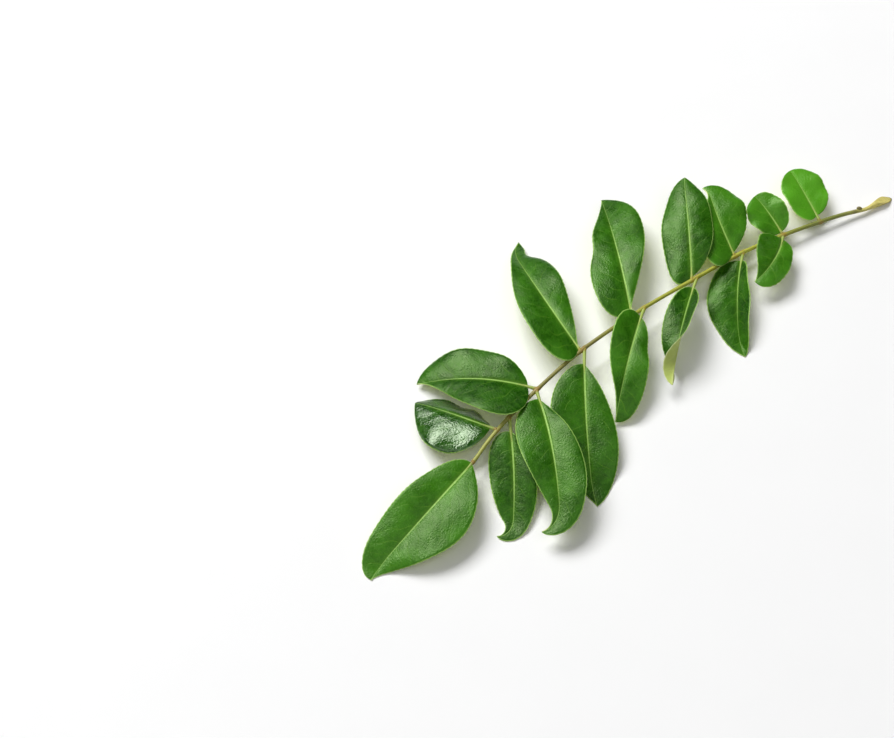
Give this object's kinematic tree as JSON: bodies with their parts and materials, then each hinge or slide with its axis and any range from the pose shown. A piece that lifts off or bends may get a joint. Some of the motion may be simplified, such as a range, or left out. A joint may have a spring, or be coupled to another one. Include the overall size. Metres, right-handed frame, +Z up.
{
  "type": "curry leaf sprig",
  "caption": "Cut sprig of the curry tree: one compound leaf with alternate pointed leaflets on a thin arched stalk with a swollen base, lying flat on a surface.",
  "frame": {"origin": "middle of the sprig's bounding box, on the surface that it lies on", "axes": "+X along the sprig from the end leaflet's tip to the swollen cut base, +Z up, out of the leaflets' upper sides"},
  "size_m": [0.2097, 0.0867, 0.0122],
  "materials": {
    "leaf": "satin, deep green",
    "stalk": "satin, yellow-green"
  },
  "bodies": {
    "root": {"curry_leaf_sprig": "leaf"}
  },
  "joints": []
}
